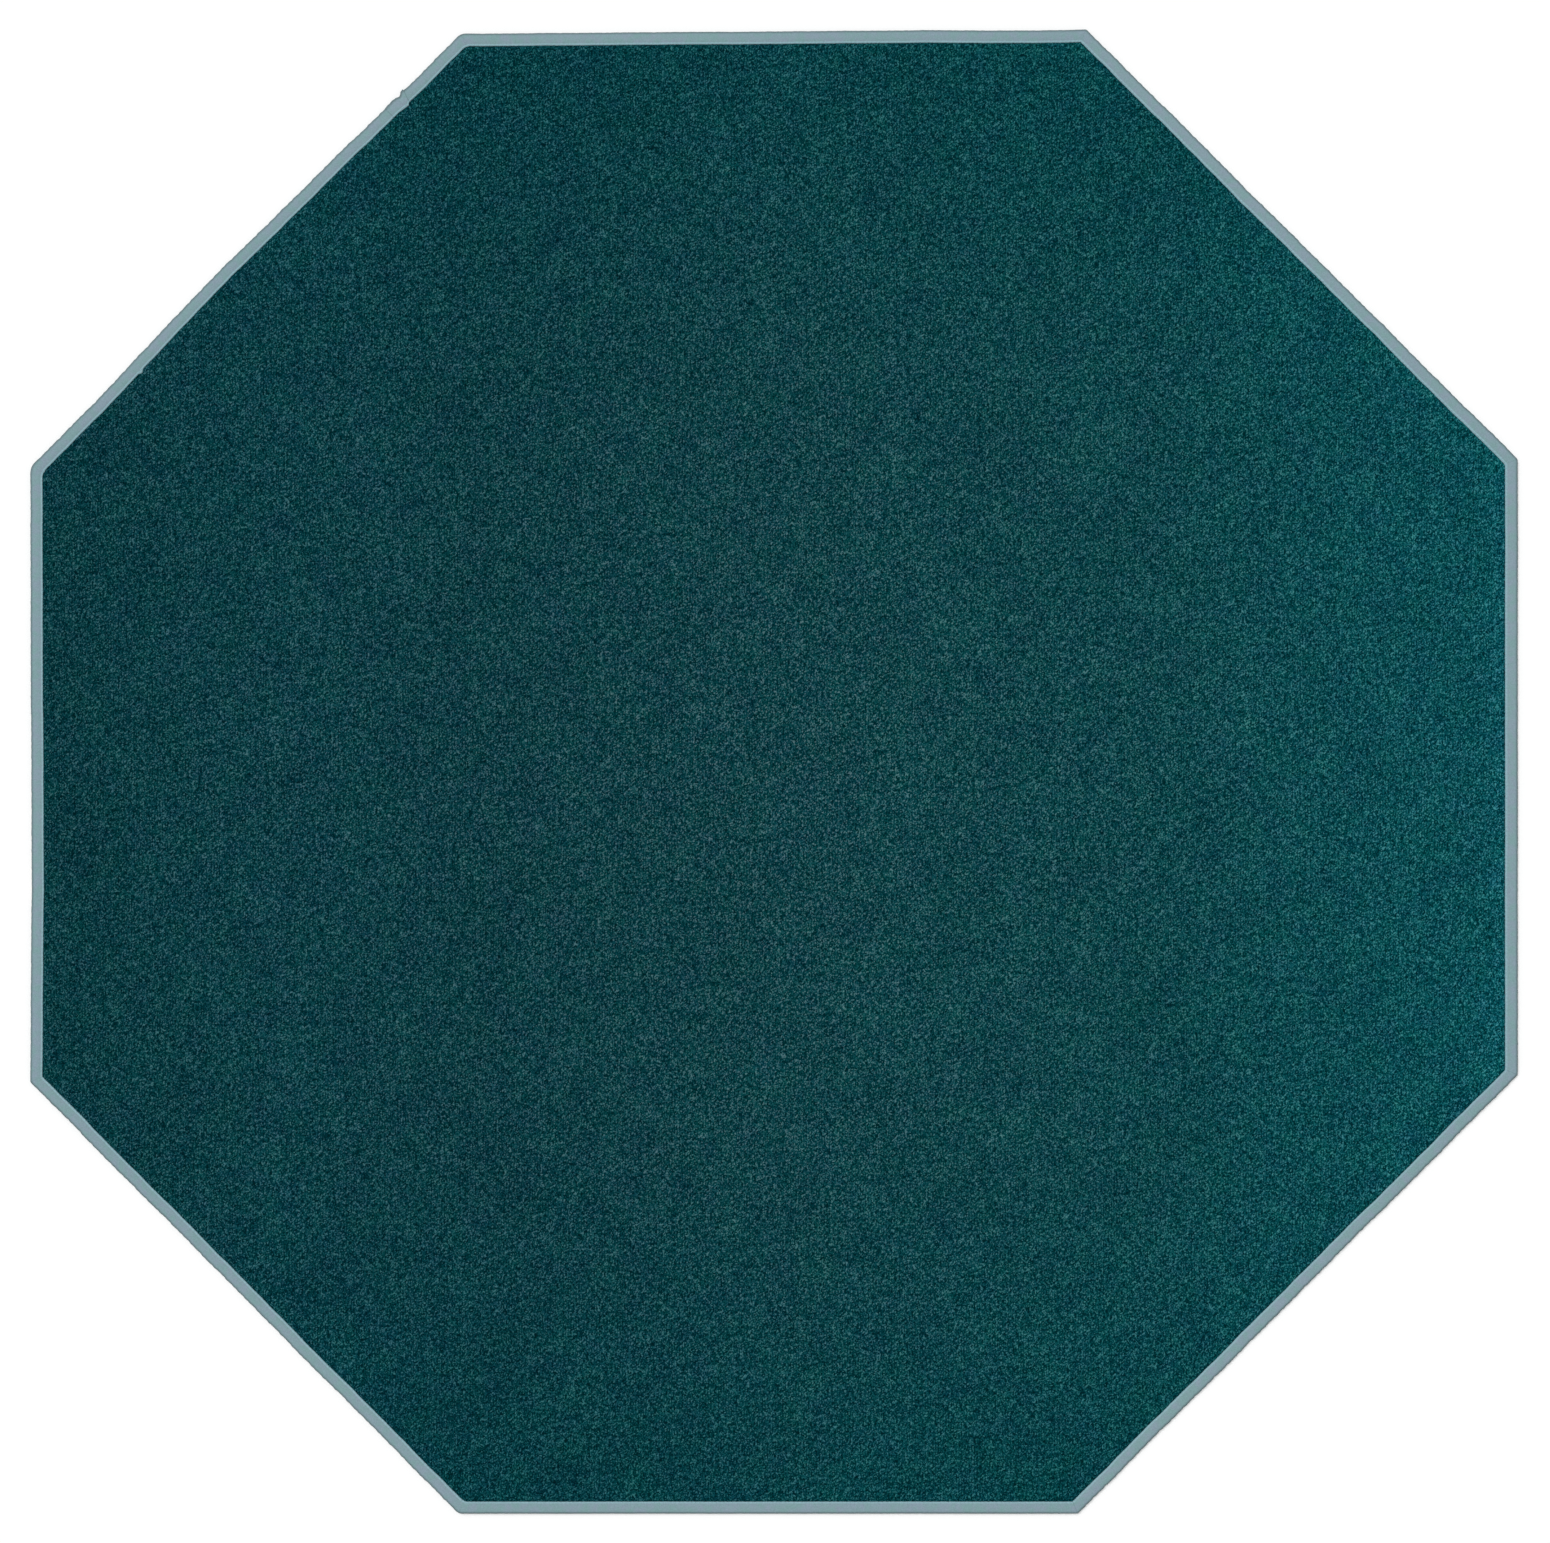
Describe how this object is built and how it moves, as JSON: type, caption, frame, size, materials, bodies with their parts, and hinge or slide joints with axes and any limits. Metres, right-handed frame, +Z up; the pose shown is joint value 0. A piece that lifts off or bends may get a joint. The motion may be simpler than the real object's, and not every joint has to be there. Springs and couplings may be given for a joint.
{
  "type": "octagonal area rug",
  "caption": "Flat octagonal cut-pile area rug, tufted through a woven backing, with a narrow woven tape folded over the cut edge and sewn down.",
  "frame": {"origin": "under the middle of the rug, on the floor it lies on", "axes": "+Z up out of the pile, +Y from the front side to the back side, +X to the right side"},
  "size_m": [1.829, 1.825, 0.011],
  "materials": {
    "pile": "cut-pile yarn, dark teal, matte",
    "woven_backing": "woven polypropylene, natural",
    "latex": "filled latex, matte",
    "binding_tape": "woven tape, pale blue-grey, matte",
    "thread": "polyester sewing thread"
  },
  "bodies": {
    "root": {"pile": "pile", "primary_backing": "woven_backing", "latex_layer": "latex", "secondary_backing": "woven_backing", "binding_right": "binding_tape", "binding_back_right": "binding_tape", "binding_back": "binding_tape", "binding_back_left": "binding_tape", "binding_left": "binding_tape", "binding_front_left": "binding_tape", "binding_front": "binding_tape", "binding_front_right": "binding_tape", "binding_lap": "binding_tape", "stitching_right": "thread", "stitching_back_right": "thread", "stitching_back": "thread", "stitching_back_left": "thread", "stitching_left": "thread", "stitching_front_left": "thread", "stitching_front": "thread", "stitching_front_right": "thread"}
  },
  "joints": []
}
